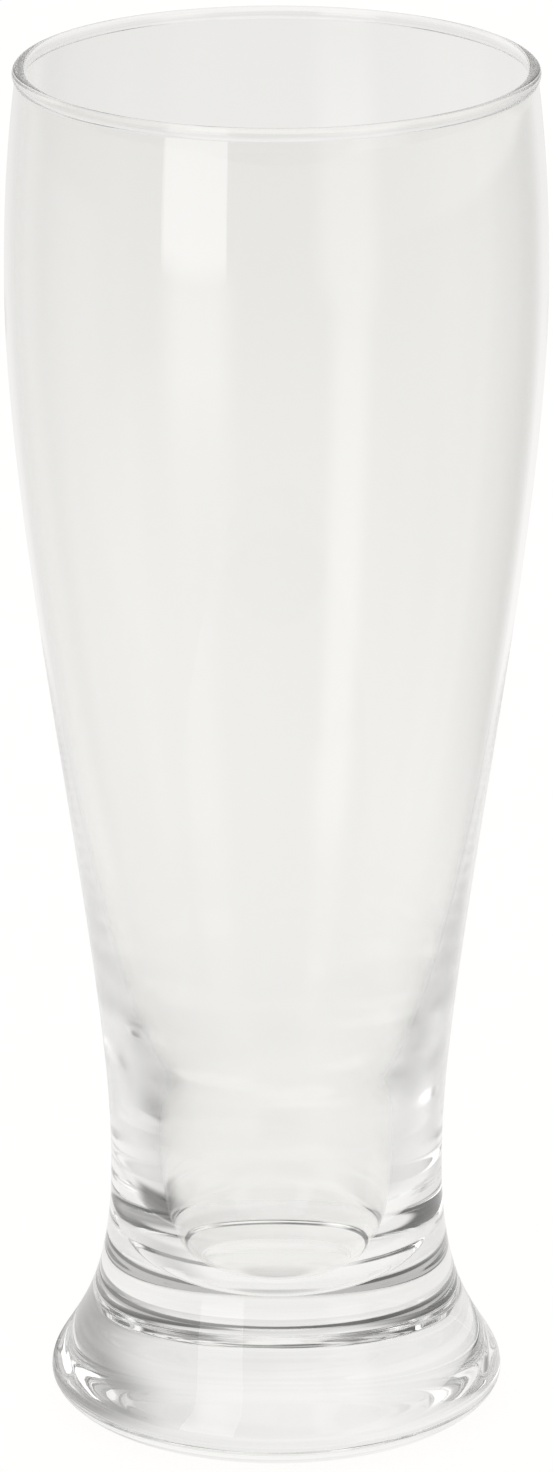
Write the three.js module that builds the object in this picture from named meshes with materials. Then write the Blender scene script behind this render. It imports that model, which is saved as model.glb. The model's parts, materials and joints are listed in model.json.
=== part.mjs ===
import * as THREE from 'three';

// A tall beer glass: a blown bowl on a heavy solid foot, both round about Z.
// Millimetres, +Z up. The foot stands on z = 0.

// Heights
const height = 210;           // table to the top of the lip
const footHeight = 16;        // table to the plane where the foot meets the bowl
const neckLength = 24;        // that plane up to the waist, the narrowest place outside
const floorThickness = 4.13;  // that plane up to the floor of the hollow
const shoulderDrop = 33;      // lip down to the shoulder, the widest place of the bowl
const heelRise = 37.93;       // floor of the hollow up to the heel, where its wall leans out most
const wellRise = 12.69;       // floor of the hollow up to the well, where its wall starts to round in
const edgeHeight = 5.41;      // table to the widest place of the foot

// Outside radii
const lipRadius = 39;
const shoulderRadius = 40.4;
const waistRadius = 25.25;
const neckRadius = 29.2;  // where the foot meets the bowl
const footRadius = 34.45;

// Glass thickness
const lipWall = 1.25;     // wall just under the lip
const beadProud = 0.375;  // the fire-polished lip swells past that wall on both sides
const shoulderWall = 1.25;
const heelInset = 4.17;   // inside radius at the heel, less than the waist's outside radius by this
const wellInset = 7.92;   // and at the well

// Lean of the outline from the vertical, degrees
const lipLean = 7;
const neckLean = 25.5;
const heelLean = 19.64;
const wellLean = 7.34;

// Underside
const edgeSpread = 7.45;  // width of the rounded edge under the foot's widest place
const ringWidth = 1.5;    // flat ring that touches the table
const recessRim = 1.6;    // width of the soft step inside that ring
const recessStep = 0.13;  // height of that step
const recessDome = 1.59;  // further rise from the step to the middle

// How far each curve holds its direction as it leaves the place it is named for
const edgeSweep = 3;
const flareSweep = 6.65;
const neckSweep = 10.1;
const waistSweepDown = 3;
const waistSweepUp = 30.5;
const shoulderSweepDown = 39.5;
const shoulderSweepUp = 12.3;
const lipSweep = 10.5;
const innerShoulderSweep = 30.17;
const heelSweepUp = 23.18;
const heelSweepDown = 9.45;
const wellSweepUp = 6.68;
const wellSweepDown = 9.27;
const floorSweep = 14.39;

// Fineness
const facetsRound = 56;
const stepsPerCurve = 7;

const { degToRad } = THREE.MathUtils;

// The point at a distance up the outline from another, where the outline leans in towards the axis
function upAlong(point, lean, distance) {
  const angle = degToRad(lean);
  return new THREE.Vector2(point.x - Math.sin(angle) * distance, point.y + Math.cos(angle) * distance);
}

function bend(path, leaving, arriving, end) {
  path.bezierCurveTo(leaving.x, leaving.y, arriving.x, arriving.y, end.x, end.y);
}

// Turns a half section, radius against height, about the vertical axis
function turned(name, path, material) {
  const geometry = new THREE.LatheGeometry(path.getPoints(stepsPerCurve), facetsRound);
  geometry.rotateX(Math.PI / 2);
  const mesh = new THREE.Mesh(geometry, material);
  mesh.name = name;
  return mesh;
}

// Half section of the foot, from the middle of the recess round the edge to the flat top
function footSection() {
  const edgeRadius = footRadius - edgeSpread;
  const recessRadius = edgeRadius - ringWidth;
  const domeRadius = recessRadius - recessRim;
  const widest = new THREE.Vector2(footRadius, edgeHeight);
  const neck = new THREE.Vector2(neckRadius, footHeight);
  const domeTop = recessStep + recessDome;

  const path = new THREE.Path();
  path.moveTo(0, domeTop);
  path.quadraticCurveTo(domeRadius / 2, domeTop, domeRadius, recessStep);
  path.bezierCurveTo(
    domeRadius + recessRim / 2, recessStep, recessRadius - recessRim / 2, 0, recessRadius, 0);
  path.lineTo(edgeRadius, 0);
  path.absellipse(edgeRadius, edgeHeight, edgeSpread, edgeHeight, -Math.PI / 2, 0, false, 0);
  bend(path, upAlong(widest, 0, edgeSweep), upAlong(neck, neckLean, -flareSweep), neck);
  path.lineTo(0, footHeight);
  return path;
}

// Half section of the bowl with its flat bottom at height 0: up the outside, over the lip, down the inside
function bowlSection() {
  const top = height - footHeight;
  const neck = new THREE.Vector2(neckRadius, 0);
  const waist = new THREE.Vector2(waistRadius, neckLength);
  const shoulder = new THREE.Vector2(shoulderRadius, top - shoulderDrop);
  const innerShoulder = new THREE.Vector2(shoulderRadius - shoulderWall, shoulder.y);
  const heel = new THREE.Vector2(waistRadius - heelInset, floorThickness + heelRise);
  const well = new THREE.Vector2(waistRadius - wellInset, floorThickness + wellRise);
  const floor = new THREE.Vector2(0, floorThickness);

  const beadRadius = lipWall / 2 + beadProud;
  const bead = new THREE.Vector2(lipRadius - beadRadius, top - beadRadius);
  const beadTurn = Math.acos(lipWall / 2 / beadRadius);
  const beadDrop = beadRadius * Math.sin(-beadTurn);
  const outerLip = new THREE.Vector2(bead.x + beadRadius * Math.cos(-beadTurn), bead.y + beadDrop);
  const innerLip = new THREE.Vector2(bead.x - lipWall / 2, bead.y + beadDrop);

  const path = new THREE.Path();
  path.moveTo(0, 0);
  path.lineTo(neck.x, neck.y);
  bend(path, upAlong(neck, neckLean, neckSweep), upAlong(waist, 0, -waistSweepDown), waist);
  bend(path, upAlong(waist, 0, waistSweepUp), upAlong(shoulder, 0, -shoulderSweepDown), shoulder);
  bend(path, upAlong(shoulder, 0, shoulderSweepUp), upAlong(outerLip, lipLean, -lipSweep), outerLip);
  path.absarc(bead.x, bead.y, beadRadius, -beadTurn, Math.PI + beadTurn, false);
  bend(path, upAlong(innerLip, lipLean, -lipSweep), upAlong(innerShoulder, 0, shoulderSweepUp), innerShoulder);
  bend(path, upAlong(innerShoulder, 0, -innerShoulderSweep), upAlong(heel, -heelLean, heelSweepUp), heel);
  bend(path, upAlong(heel, -heelLean, -heelSweepDown), upAlong(well, -wellLean, wellSweepUp), well);
  bend(path, upAlong(well, -wellLean, -wellSweepDown), new THREE.Vector2(floorSweep, floor.y), floor);
  return path;
}

function clearGlass() {
  return new THREE.MeshStandardMaterial({
    color: 0xf1f5f3, roughness: 0.03, metalness: 0, transparent: true, opacity: 0.35,
  });
}

const foot = turned('foot', footSection(), clearGlass());
const bowl = turned('bowl', bowlSection(), clearGlass());
bowl.position.z = footHeight;

const glass = new THREE.Group();
glass.add(foot, bowl);

export default glass;
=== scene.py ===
import json
import math

import bmesh
import bpy
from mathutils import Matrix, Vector, geometry, noise

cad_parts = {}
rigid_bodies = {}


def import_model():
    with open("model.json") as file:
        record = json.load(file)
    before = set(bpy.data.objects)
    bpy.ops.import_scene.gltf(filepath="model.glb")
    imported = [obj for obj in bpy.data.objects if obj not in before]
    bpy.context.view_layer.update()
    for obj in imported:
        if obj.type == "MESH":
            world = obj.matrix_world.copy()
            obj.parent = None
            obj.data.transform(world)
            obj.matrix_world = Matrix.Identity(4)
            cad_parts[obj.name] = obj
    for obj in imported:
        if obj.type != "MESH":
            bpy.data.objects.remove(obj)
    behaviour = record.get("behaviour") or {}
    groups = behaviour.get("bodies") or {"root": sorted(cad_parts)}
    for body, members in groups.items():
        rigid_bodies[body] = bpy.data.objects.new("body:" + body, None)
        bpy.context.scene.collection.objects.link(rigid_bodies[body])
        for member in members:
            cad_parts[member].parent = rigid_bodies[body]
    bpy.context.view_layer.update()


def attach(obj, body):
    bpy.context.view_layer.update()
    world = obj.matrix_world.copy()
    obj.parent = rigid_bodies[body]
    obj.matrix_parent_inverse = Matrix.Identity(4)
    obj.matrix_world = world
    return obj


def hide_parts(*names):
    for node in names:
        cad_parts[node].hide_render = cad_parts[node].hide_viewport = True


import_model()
scene = bpy.context.scene
scene.view_settings.view_transform = "Standard"
perMetre = 1000  # the glass is given in mm

# camera, at the height and distance that the lip and foot ellipses give
shot = {"distance": 1.353, "height": 0.5392, "lookDown": 17.74, "lens": 230.84, "sensor": 36}

cameraData = bpy.data.cameras.new("shotCamera")
cameraData.lens = shot["lens"]
cameraData.sensor_width = shot["sensor"]
camera = bpy.data.objects.new("shotCamera", cameraData)
camera.location = (0, -shot["distance"], shot["height"])
camera.rotation_euler = (math.radians(90 - shot["lookDown"]), 0, 0)
scene.collection.objects.link(camera)
scene.camera = camera
print("camera set")


def fromHex(text):
    channels = [int(text[i:i + 2], 16) / 255 for i in (1, 3, 5)]
    return [c / 12.92 if c <= 0.04045 else ((c + 0.055) / 1.055) ** 2.4 for c in channels] + [1]


# a link is named for its socket, or for the socket's place, as in _0
def addNode(tree, kind, settings, **links):
    node = tree.nodes.new(kind)
    for name, value in settings.items():
        if isinstance(name, int) or name in node.inputs:
            node.inputs[name].default_value = value
        else:
            setattr(node, name, value)
    for name, output in links.items():
        place = int(name[1:]) if name[1:].isdigit() else name.replace("_", " ")
        tree.links.new(output, node.inputs[place])
    return node


# soda-lime glass, blown in a mould and fire-polished: clear, faintly warm, with a film of wiping marks
# that takes the hard edge off reflections, a lip just short of mirror smooth, and dull stripes inside
# where it was chilled above the floor
glassLook = {
    "colour": "#FFFFFE", "ior": 1.52,
    "film": 14, "filmLength": 60, "filmFrom": 0.45, "filmTo": 0.75, "clean": 0.0, "wiped": 0.02,
    "chill": 0.18, "chillLow": 40, "chillFull": 47, "chillEnds": 70, "chillHigh": 95,
    "chillRadius": 21.8, "chillSpread": 0.173,  # a cone that runs between the inner and outer faces
    "stripe": 3.5, "stripeLength": 16, "stripeFrom": 0.36, "stripeTo": 0.48, "stripeLeast": 0.3,
    "lip": 0.08, "lipLow": 207.3, "lipFull": 208.3,
}


def makeGlassLook(look):
    material = bpy.data.materials.new("blownSodaLimeGlass")
    material.use_nodes = True
    tree = material.node_tree
    tree.nodes.clear()
    spot = addNode(tree, "ShaderNodeTexCoord", {}).outputs["Object"]
    height = addNode(tree, "ShaderNodeSeparateXYZ", {}, Vector=spot).outputs["Z"]

    # wiping marks, longer up the glass than round it
    aroundScale, upScale = perMetre / look["film"], perMetre / look["filmLength"]
    stretch = addNode(tree, "ShaderNodeMapping", {"Scale": (aroundScale, aroundScale, upScale)}, Vector=spot)
    marks = addNode(
        tree, "ShaderNodeTexNoise", {"Scale": 1, "Detail": 2, "Roughness": 0.5},
        Vector=stretch.outputs["Vector"])
    film = addNode(
        tree, "ShaderNodeMapRange",
        {"From Min": look["filmFrom"], "From Max": look["filmTo"],
         "To Min": look["clean"], "To Max": look["wiped"]},
        Value=marks.outputs["Fac"])

    # the chilled zone, on the inner face of the wall only
    flat = addNode(
        tree, "ShaderNodeVectorMath", {"operation": "MULTIPLY", 1: (1, 1, 0)}, _0=spot)
    radius = addNode(tree, "ShaderNodeVectorMath", {"operation": "LENGTH"}, _0=flat.outputs["Vector"])
    coneFoot = (look["chillRadius"] - look["chillSpread"] * look["chillLow"]) / perMetre
    cone = addNode(
        tree, "ShaderNodeMath",
        {"operation": "MULTIPLY_ADD", 1: look["chillSpread"], 2: coneFoot}, _0=height)
    inner = addNode(
        tree, "ShaderNodeMath", {"operation": "LESS_THAN"},
        _0=radius.outputs["Value"], _1=cone.outputs[0])
    starts = addNode(
        tree, "ShaderNodeMapRange",
        {"interpolation_type": "SMOOTHSTEP",
         "From Min": look["chillLow"] / perMetre, "From Max": look["chillFull"] / perMetre,
         "To Min": 0, "To Max": look["chill"]},
        Value=height)
    ends = addNode(
        tree, "ShaderNodeMapRange",
        {"interpolation_type": "SMOOTHSTEP",
         "From Min": look["chillEnds"] / perMetre, "From Max": look["chillHigh"] / perMetre,
         "To Min": 1, "To Max": 0},
        Value=height)
    zone = addNode(
        tree, "ShaderNodeMath", {"operation": "MULTIPLY"}, _0=starts.outputs[0], _1=ends.outputs[0])
    inside = addNode(
        tree, "ShaderNodeMath", {"operation": "MULTIPLY"}, _0=zone.outputs[0], _1=inner.outputs[0])

    # its stripes, longer round the glass than up it
    aroundScale, upScale = perMetre / look["stripeLength"], perMetre / look["stripe"]
    level = addNode(tree, "ShaderNodeMapping", {"Scale": (aroundScale, aroundScale, upScale)}, Vector=spot)
    waves = addNode(
        tree, "ShaderNodeTexNoise", {"Scale": 1, "Detail": 1, "Roughness": 0.5},
        Vector=level.outputs["Vector"])
    stripes = addNode(
        tree, "ShaderNodeMapRange",
        {"From Min": look["stripeFrom"], "From Max": look["stripeTo"],
         "To Min": look["stripeLeast"], "To Max": 1},
        Value=waves.outputs["Fac"])
    chill = addNode(
        tree, "ShaderNodeMath", {"operation": "MULTIPLY"},
        _0=inside.outputs[0], _1=stripes.outputs[0])

    lip = addNode(
        tree, "ShaderNodeMapRange",
        {"interpolation_type": "SMOOTHSTEP",
         "From Min": look["lipLow"] / perMetre, "From Max": look["lipFull"] / perMetre,
         "To Min": 0, "To Max": look["lip"]},
        Value=height)
    duller = addNode(
        tree, "ShaderNodeMath", {"operation": "MAXIMUM"}, _0=lip.outputs[0], _1=chill.outputs[0])
    dull = addNode(
        tree, "ShaderNodeMath", {"operation": "MAXIMUM"}, _0=film.outputs[0], _1=duller.outputs[0])
    shader = addNode(
        tree, "ShaderNodeBsdfPrincipled",
        {"Base Color": fromHex(look["colour"]), "IOR": look["ior"], "Transmission Weight": 1},
        Roughness=dull.outputs[0])
    addNode(tree, "ShaderNodeOutputMaterial", {}, Surface=shader.outputs["BSDF"])
    return material


# the glass itself, one closed skin: up the outside, over the lip, down the inside
glass = {
    "domeTop": 1.72, "domeRadius": 23.92, "domeSweep": 5.44,  # recess under the foot
    "step": 0.13, "recessRadius": 25.78, "ringRadius": 26.6,
    "edgeRadius": 34.45, "edgeHeight": 5.41, "edgeRound": 0.47, "edgeSweep": 3,
    "neckRadius": 29.2, "neckHeight": 16, "neckLean": 25.5, "flareSweep": 6.65, "neckSweep": 10.1,
    "waistRadius": 25.25, "waistHeight": 40, "waistSweepDown": 3, "waistSweepUp": 30.5,
    "shoulderRadius": 40.4, "shoulderHeight": 177, "shoulderSweepDown": 39.5, "shoulderSweepUp": 12.3,
    "lipRadius": 39, "lipHeight": 210, "lipWall": 1.25, "lipLean": 7, "lipSweep": 9,
    "bead": 1, "beadTurn": 25, "beadDrop": 2.1, "beadSweep": 0.3, "beadSteps": 24,
    "shoulderWall": 1.25, "innerShoulderSweep": 30.17,
    "heelRadius": 21.08, "heelHeight": 58.06, "heelLean": 19.64,  # where the inner wall leans most
    "heelSweepUp": 23.18, "heelSweepDown": 9.45,
    "wellRadius": 17.33, "wellHeight": 32.82, "wellLean": 7.34,  # where it starts to round in
    "wellSweepUp": 6.68, "wellSweepDown": 9.27,
    "floorHeight": 20.13, "floorSweep": 14.39,
    "around": 256,
}
# chill ripples, where the hot glass first met the plunger, on what is inside the waist's radius
ripple = {"low": 40, "high": 66, "depth": 0.004, "spacing": 3.2, "length": 22, "inset": 0.6}
# the lip, softened in the flame, is never quite even
lipWave = {"low": 206.5, "high": 208.5, "across": 0.05, "down": 0.04, "length": 7}


def upAlong(point, lean, distance):
    angle = math.radians(lean)
    return Vector((point.x - math.sin(angle) * distance, 0, point.z + math.cos(angle) * distance))


def glassOutline(size):
    def at(radius, height):
        return Vector((radius, 0, height))

    edge = at(size["edgeRadius"], size["edgeHeight"])
    edgeSpread = size["edgeRadius"] - size["ringRadius"]
    neck = at(size["neckRadius"], size["neckHeight"])
    waist = at(size["waistRadius"], size["waistHeight"])
    shoulder = at(size["shoulderRadius"], size["shoulderHeight"])
    inner = at(size["shoulderRadius"] - size["shoulderWall"], size["shoulderHeight"])
    heel = at(size["heelRadius"], size["heelHeight"])
    well = at(size["wellRadius"], size["wellHeight"])
    bead = at(size["lipRadius"] - size["bead"], size["lipHeight"] - size["bead"])
    turn = math.radians(size["beadTurn"])
    outerLip = at(bead.x + size["lipWall"] / 2, size["lipHeight"] - size["beadDrop"])
    innerLip = at(bead.x - size["lipWall"] / 2, size["lipHeight"] - size["beadDrop"])
    dome = size["domeRadius"]
    domeRise = size["domeTop"] - size["step"]
    midStep = (dome + size["recessRadius"]) / 2
    ringThird = (size["ringRadius"] - size["recessRadius"]) / 3

    def beadAt(share):
        angle = -turn + (math.pi + 2 * turn) * share
        return bead + at(size["bead"] * math.cos(angle), size["bead"] * math.sin(angle))

    blend = size["beadSweep"]
    beadStart, beadEnd = beadAt(0), beadAt(1)
    # start, two handles, end, points
    outside = [
        (at(0, size["domeTop"]), at(size["domeSweep"], size["domeTop"]),
         at(dome * 2 / 3, size["step"] + domeRise * 2 / 3), at(dome, size["step"]), 18),
        (at(dome, size["step"]), at(midStep, size["step"]),
         at(midStep, 0), at(size["recessRadius"], 0), 10),
        (at(size["recessRadius"], 0), at(size["recessRadius"] + ringThird, 0),
         at(size["ringRadius"] - ringThird, 0), at(size["ringRadius"], 0), 4),
        (at(size["ringRadius"], 0), at(size["ringRadius"] + edgeSpread * size["edgeRound"], 0),
         at(edge.x, edge.z * (1 - size["edgeRound"])), edge, 22),
        (edge, upAlong(edge, 0, size["edgeSweep"]),
         upAlong(neck, size["neckLean"], -size["flareSweep"]), neck, 18),
        (neck, upAlong(neck, size["neckLean"], size["neckSweep"]),
         upAlong(waist, 0, -size["waistSweepDown"]), waist, 24),
        (waist, upAlong(waist, 0, size["waistSweepUp"]),
         upAlong(shoulder, 0, -size["shoulderSweepDown"]), shoulder, 48),
        (shoulder, upAlong(shoulder, 0, size["shoulderSweepUp"]),
         upAlong(outerLip, size["lipLean"], -size["lipSweep"]), outerLip, 16),
        (outerLip, upAlong(outerLip, size["lipLean"], blend),
         upAlong(beadStart, -size["beadTurn"], -blend), beadStart, 10),
    ]
    inside = [
        (beadEnd, upAlong(beadEnd, size["beadTurn"], -blend),
         upAlong(innerLip, size["lipLean"], blend), innerLip, 10),
        (innerLip, upAlong(innerLip, size["lipLean"], -size["lipSweep"]),
         upAlong(inner, 0, size["shoulderSweepUp"]), inner, 16),
        (inner, upAlong(inner, 0, -size["innerShoulderSweep"]),
         upAlong(heel, -size["heelLean"], size["heelSweepUp"]), heel, 64),
        (heel, upAlong(heel, -size["heelLean"], -size["heelSweepDown"]),
         upAlong(well, -size["wellLean"], size["wellSweepUp"]), well, 26),
        (well, upAlong(well, -size["wellLean"], -size["wellSweepDown"]),
         at(size["floorSweep"], size["floorHeight"]), at(0, size["floorHeight"]), 56),
    ]
    line = [p for curve in outside for p in geometry.interpolate_bezier(*curve)]
    line += [beadAt(n / size["beadSteps"]) for n in range(size["beadSteps"] + 1)]
    line += [p for curve in inside for p in geometry.interpolate_bezier(*curve)]
    return [p / perMetre for p in line]


def makeGlass(size, ripple, wave):
    bm = bmesh.new()
    line = [bm.verts.new(point) for point in glassOutline(size)]
    for low, high in zip(line, line[1:]):
        bm.edges.new((low, high))
    bmesh.ops.remove_doubles(bm, verts=bm.verts, dist=1e-6)
    bmesh.ops.spin(
        bm, geom=bm.verts[:] + bm.edges[:], cent=(0, 0, 0), axis=(0, 0, 1),
        angle=2 * math.pi, steps=size["around"], use_merge=True)
    bmesh.ops.remove_doubles(bm, verts=bm.verts, dist=1e-6)
    bmesh.ops.recalc_face_normals(bm, faces=bm.faces)
    across = 2 * perMetre / ripple["length"]
    along = 2 * perMetre / ripple["spacing"]
    for vert in bm.verts:
        height = vert.co.z * perMetre
        radius = vert.co.xy.length * perMetre
        if radius < size["waistRadius"] - ripple["inset"] and ripple["low"] < height < ripple["high"]:
            fade = math.sin(math.pi * (height - ripple["low"]) / (ripple["high"] - ripple["low"]))
            spot = Vector((vert.co.x * across, vert.co.y * across, vert.co.z * along))
            push = ripple["depth"] * fade * noise.noise(spot)
            vert.co.xy *= 1 + push / radius
        if height > wave["low"]:
            share = min(1, (height - wave["low"]) / (wave["high"] - wave["low"]))
            spot = vert.co.normalized() * size["lipRadius"] * 2 / wave["length"]
            uneven = noise.noise(spot)
            vert.co.xy *= 1 + share * wave["across"] * uneven / radius
            vert.co.z -= share * wave["down"] * (1 + uneven) / (2 * perMetre)
    for face in bm.faces:
        face.smooth = True
    openEdges = sum(not edge.is_manifold for edge in bm.edges)
    mesh = bpy.data.meshes.new("glassBody")
    bm.to_mesh(mesh)
    bm.free()
    print("glass body:", len(mesh.polygons), "faces,", openEdges, "open edges")
    piece = bpy.data.objects.new("glassBody", mesh)
    scene.collection.objects.link(piece)
    return piece


glassBody = makeGlass(glass, ripple, lipWave)
glassBody.data.materials.append(makeGlassLook(glassLook))
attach(glassBody, "root")
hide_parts("bowl", "foot")

# pale table top, in metres. Seen straight it is white, and still takes a shadow. Seen through or off the
# glass it glows with painted light and painted shade, at the levels set below.
# A pool's turn is in degrees, and its rise is its distance from the glass's axis
table = {
    "size": 12, "drop": 0.0002, "colour": "#EDEDEB", "tint": "#FFFEFD", "white": 1.07, "glow": 0.9,
    # painted shade under and beside the foot, darkest under it
    "underFoot": 0.71, "footEnds": 0.025, "beside": 0.73, "besideStarts": 0.05,
    # painted light and shade: lighter towards the back, darker to the left
    "back": 0.28, "left": -0.046, "leanSoft": 0.012,  # lighter towards the back, darker to the left
    # painted shade, darker far from the glass
    "farStarts": 0.25, "farEnds": 0.95, "far": 0.11,
    # pools of painted light and painted shade on the table
    "pools": [
        # light round the front and right of the foot
        {"turn": -27, "wide": 80, "softWide": 50,
         "rise": 0.0457, "tall": 0.0217, "softTall": 0.0114, "level": 1.0},
        # shade at the front left
        {"turn": 57, "wide": 67, "softWide": 24,
         "rise": 0.0582, "tall": 0.0111, "softTall": 0.0066, "level": 0.1},
        # light that the foot gathers under itself
        {"turn": 0, "wide": 180, "softWide": 1,
         "rise": 0.015, "tall": 0.003, "softTall": 0.006, "level": 0.95},
        # the table's ends, in the shade of the screens
        {"turn": -94, "wide": 34, "softWide": 25,
         "rise": 0.75, "tall": 0.45, "softTall": 0.25, "level": 0.38},
        {"turn": 114, "wide": 21, "softWide": 25,
         "rise": 0.75, "tall": 0.45, "softTall": 0.25, "level": 0.77},
        # light on the table below the softbox
        {"turn": 33, "wide": 6, "softWide": 14,
         "rise": 0.75, "tall": 0.15, "softTall": 0.4, "level": 1.2},
    ],
}
# what the glass sees: a white sweep behind, a light ceiling and a room in front. All in degrees
studio = {
    "level": 0.52, "back": 0.3, "up": 0.24, "left": 0.08, "tint": "#FFFEFD", "white": 1.01,
    "patches": [
        # dark room to the left of the camera
        {"turn": 58, "wide": 51, "softWide": 13, "rise": 20, "tall": 28, "softTall": 27, "level": 0.12},
        # window to the right
        {"turn": -51, "wide": 10, "softWide": 15, "rise": 17, "tall": 18, "softTall": 13, "level": 1.0},
        # lamps overhead, in front of the glass
        {"turn": -15, "wide": 8, "softWide": 14, "rise": 63, "tall": 25, "softTall": 18, "level": 1.0},
        {"turn": 22, "wide": 18, "softWide": 13, "rise": 63, "tall": 22, "softTall": 13, "level": 1.0},
        # dark screens at both sides
        {"turn": -85, "wide": 20, "softWide": 14, "rise": 34, "tall": 31, "softTall": 25, "level": 0.13},
        {"turn": 105, "wide": 8, "softWide": 16, "rise": 0, "tall": 5, "softTall": 14, "level": 0.6},
        {"turn": -114, "wide": 20, "softWide": 25, "rise": 17, "tall": 14, "softTall": 18, "level": 0.39},
    ],
}


# blends a level towards that of a patch with soft edges, set out by its turn and rise
def addPatch(tree, level, turn, rise, patch):
    def within(value, middle, half, soft):
        away = addNode(tree, "ShaderNodeMath", {"operation": "SUBTRACT", 1: middle}, _0=value)
        apart = addNode(tree, "ShaderNodeMath", {"operation": "ABSOLUTE"}, _0=away.outputs[0])
        return addNode(
            tree, "ShaderNodeMapRange",
            {"interpolation_type": "SMOOTHSTEP", "From Min": half, "From Max": half + soft,
             "To Min": 1, "To Max": 0},
            Value=apart.outputs[0]).outputs[0]

    share = addNode(
        tree, "ShaderNodeMath", {"operation": "MULTIPLY"},
        _0=within(turn, patch["turn"], patch["wide"], patch["softWide"]),
        _1=within(rise, patch["rise"], patch["tall"], patch["softTall"]))
    return addNode(
        tree, "ShaderNodeMix", {"data_type": "FLOAT", 3: patch["level"]},
        _0=share.outputs[0], _2=level).outputs[0]


# degrees round from the camera's side, to the left
def addTurn(tree, axes):
    front = addNode(tree, "ShaderNodeMath", {"operation": "MULTIPLY", 1: -1}, _0=axes.outputs["Y"])
    left = addNode(tree, "ShaderNodeMath", {"operation": "MULTIPLY", 1: -1}, _0=axes.outputs["X"])
    turn = addNode(
        tree, "ShaderNodeMath", {"operation": "ARCTAN2"}, _0=left.outputs[0], _1=front.outputs[0])
    return addNode(tree, "ShaderNodeMath", {"operation": "DEGREES"}, _0=turn.outputs[0]).outputs[0]


def makeTable(size):
    bm = bmesh.new()
    bmesh.ops.create_grid(bm, x_segments=1, y_segments=1, size=size["size"] / 2)
    bmesh.ops.translate(bm, vec=(0, 0, -size["drop"]), verts=bm.verts)
    mesh = bpy.data.meshes.new("tableTop")
    bm.to_mesh(mesh)
    bm.free()
    top = bpy.data.objects.new("tableTop", mesh)
    scene.collection.objects.link(top)
    material = bpy.data.materials.new("whiteLaminateWithPaintedLight")
    material.use_nodes = True
    tree = material.node_tree
    tree.nodes.clear()
    spot = addNode(tree, "ShaderNodeTexCoord", {}).outputs["Object"]
    axes = addNode(tree, "ShaderNodeSeparateXYZ", {}, Vector=spot)
    away = addNode(tree, "ShaderNodeVectorMath", {"operation": "LENGTH"}, _0=spot).outputs["Value"]
    # painted shade under and beside the foot
    beside = addNode(
        tree, "ShaderNodeMapRange",
        {"interpolation_type": "SMOOTHSTEP",
         "From Min": size["footEnds"], "From Max": size["besideStarts"],
         "To Min": size["underFoot"], "To Max": size["beside"]},
        Value=away)
    # painted light and shade, lighter towards the back and darker to the left
    towards = addNode(
        tree, "ShaderNodeVectorMath",
        {"operation": "DOT_PRODUCT", 1: (-size["left"], size["back"], 0)}, _0=spot)
    softened = addNode(tree, "ShaderNodeMath", {"operation": "ADD", 1: size["leanSoft"]}, _0=away)
    lean = addNode(
        tree, "ShaderNodeMath", {"operation": "DIVIDE"},
        _0=towards.outputs["Value"], _1=softened.outputs[0])
    # painted shade, darker far from the glass
    far = addNode(
        tree, "ShaderNodeMapRange",
        {"interpolation_type": "SMOOTHSTEP",
         "From Min": size["farStarts"], "From Max": size["farEnds"],
         "To Min": 0, "To Max": -size["far"]},
        Value=away)
    near = addNode(
        tree, "ShaderNodeMath", {"operation": "ADD"}, _0=beside.outputs[0], _1=lean.outputs[0])
    level = addNode(
        tree, "ShaderNodeMath", {"operation": "ADD"}, _0=near.outputs[0], _1=far.outputs[0]).outputs[0]
    turn = addTurn(tree, axes)
    # pools of painted light and painted shade
    for pool in size["pools"]:
        level = addPatch(tree, level, turn, away, pool)
    # white glow to the camera; painted light and painted shade to rays through or off the glass; plain matt
    # to diffuse rays
    path = addNode(tree, "ShaderNodeLightPath", {})
    whiteness = addNode(
        tree, "ShaderNodeMix", {"data_type": "FLOAT", 3: size["white"]},
        _0=path.outputs["Is Camera Ray"], _2=level)
    lit = addNode(
        tree, "ShaderNodeMath", {"operation": "MULTIPLY_ADD", 1: -size["glow"], 2: size["glow"]},
        _0=path.outputs["Is Diffuse Ray"])
    matt = addNode(tree, "ShaderNodeBsdfDiffuse", {"Color": fromHex(size["colour"])})
    white = addNode(
        tree, "ShaderNodeEmission", {"Color": fromHex(size["tint"])}, Strength=whiteness.outputs[0])
    both = addNode(
        tree, "ShaderNodeMixShader", {},
        _0=lit.outputs[0], _1=matt.outputs[0], _2=white.outputs[0])
    addNode(tree, "ShaderNodeOutputMaterial", {}, Surface=both.outputs[0])
    mesh.materials.append(material)
    return top


makeTable(table)


def makeStudio(light):
    world = bpy.data.worlds.new("studio")
    scene.world = world
    world.use_nodes = True
    tree = world.node_tree
    tree.nodes.clear()
    way = addNode(tree, "ShaderNodeTexCoord", {}).outputs["Generated"]
    axes = addNode(tree, "ShaderNodeSeparateXYZ", {}, Vector=way)
    lean = addNode(
        tree, "ShaderNodeVectorMath",
        {"operation": "DOT_PRODUCT", 1: (-light["left"], light["back"], light["up"])}, _0=way)
    level = addNode(
        tree, "ShaderNodeMath", {"operation": "ADD", 1: light["level"]},
        _0=lean.outputs["Value"]).outputs[0]
    steep = addNode(tree, "ShaderNodeMath", {"operation": "ARCSINE"}, _0=axes.outputs["Z"])
    rise = addNode(tree, "ShaderNodeMath", {"operation": "DEGREES"}, _0=steep.outputs[0])
    turn = addTurn(tree, axes)
    for patch in light["patches"]:
        level = addPatch(tree, level, turn, rise.outputs[0], patch)
    path = addNode(tree, "ShaderNodeLightPath", {})
    strength = addNode(
        tree, "ShaderNodeMix", {"data_type": "FLOAT", 3: light["white"]},
        _0=path.outputs["Is Camera Ray"], _2=level)
    glow = addNode(
        tree, "ShaderNodeBackground", {"Color": fromHex(light["tint"])}, Strength=strength.outputs[0])
    addNode(tree, "ShaderNodeOutputWorld", {}, Surface=glow.outputs[0])


makeStudio(studio)

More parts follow.
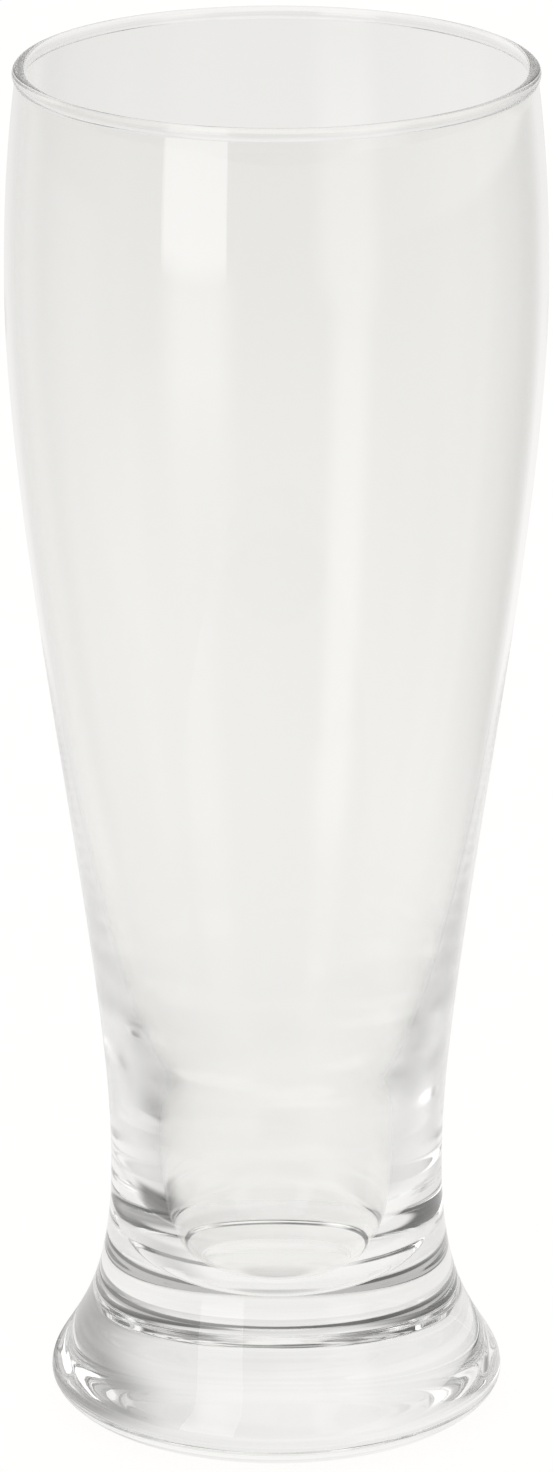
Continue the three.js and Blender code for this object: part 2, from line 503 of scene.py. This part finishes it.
# tall softbox to the left of the camera. The far wall, seen through the near one, shows it weaker
# and softer: its light has gone through more surfaces than the near wall's two
softbox = {
    "turn": 34.5, "distance": 0.95, "width": 0.47, "tall": 1.1, "foot": 0.0, "power": 2.2,
    "footStarts": -0.01, "footEnds": 0.05, "fadeFrom": 0.2, "fadeTo": 0.9, "top": 0.4,
    "farWall": 0.6, "softEdge": 0.4, "nearWall": 2.5,
}


def makeLamp(name, lamp):
    data = bpy.data.lights.new(name, "AREA")
    data.shape = "RECTANGLE"
    data.size = lamp["width"]
    data.size_y = lamp["tall"]
    data.energy = lamp["power"]
    data.use_nodes = True
    tree = data.node_tree
    tree.nodes.clear()
    place = addNode(tree, "ShaderNodeNewGeometry", {})
    height = addNode(
        tree, "ShaderNodeSeparateXYZ", {}, Vector=place.outputs["Position"]).outputs["Z"]
    across = addNode(
        tree, "ShaderNodeSeparateXYZ", {}, Vector=place.outputs["Parametric"]).outputs["X"]
    foot = addNode(
        tree, "ShaderNodeMapRange",
        {"interpolation_type": "SMOOTHSTEP",
         "From Min": lamp["footStarts"], "From Max": lamp["footEnds"], "To Min": 0, "To Max": 1},
        Value=height)
    fade = addNode(
        tree, "ShaderNodeMapRange",
        {"interpolation_type": "SMOOTHSTEP",
         "From Min": lamp["fadeFrom"], "From Max": lamp["fadeTo"], "To Min": 1, "To Max": lamp["top"]},
        Value=height)
    face = addNode(
        tree, "ShaderNodeMath", {"operation": "MULTIPLY"}, _0=foot.outputs[0], _1=fade.outputs[0])
    fromEdge = addNode(  # share of the width, at most a half
        tree, "ShaderNodeMath", {"operation": "PINGPONG", 1: 0.5}, _0=across)
    soft = addNode(
        tree, "ShaderNodeMapRange",
        {"interpolation_type": "SMOOTHSTEP",
         "From Min": 0, "From Max": lamp["softEdge"], "To Min": 0, "To Max": lamp["farWall"]},
        Value=fromEdge.outputs[0])
    path = addNode(tree, "ShaderNodeLightPath", {})
    through = addNode(
        tree, "ShaderNodeMath", {"operation": "GREATER_THAN", 1: lamp["nearWall"]},
        _0=path.outputs["Transmission Depth"])
    weaker = addNode(
        tree, "ShaderNodeMix", {"data_type": "FLOAT", 2: 1},
        _0=through.outputs[0], _3=soft.outputs[0])
    level = addNode(
        tree, "ShaderNodeMath", {"operation": "MULTIPLY"}, _0=face.outputs[0], _1=weaker.outputs[0])
    glow = addNode(tree, "ShaderNodeEmission", {}, Strength=level.outputs[0])
    addNode(tree, "ShaderNodeOutputLight", {}, Surface=glow.outputs[0])
    piece = bpy.data.objects.new(name, data)
    angle = math.radians(lamp["turn"])
    piece.location = (
        -math.sin(angle) * lamp["distance"], -math.cos(angle) * lamp["distance"],
        lamp["foot"] + lamp["tall"] / 2)
    piece.rotation_euler = (math.radians(90), 0, -angle)
    piece.visible_camera = False
    scene.collection.objects.link(piece)


makeLamp("leftSoftbox", softbox)
print("stage and light set")

# light goes through the foot and back many times
lightBounces = 256
scene.cycles.max_bounces = lightBounces
scene.cycles.glossy_bounces = lightBounces
scene.cycles.transmission_bounces = lightBounces
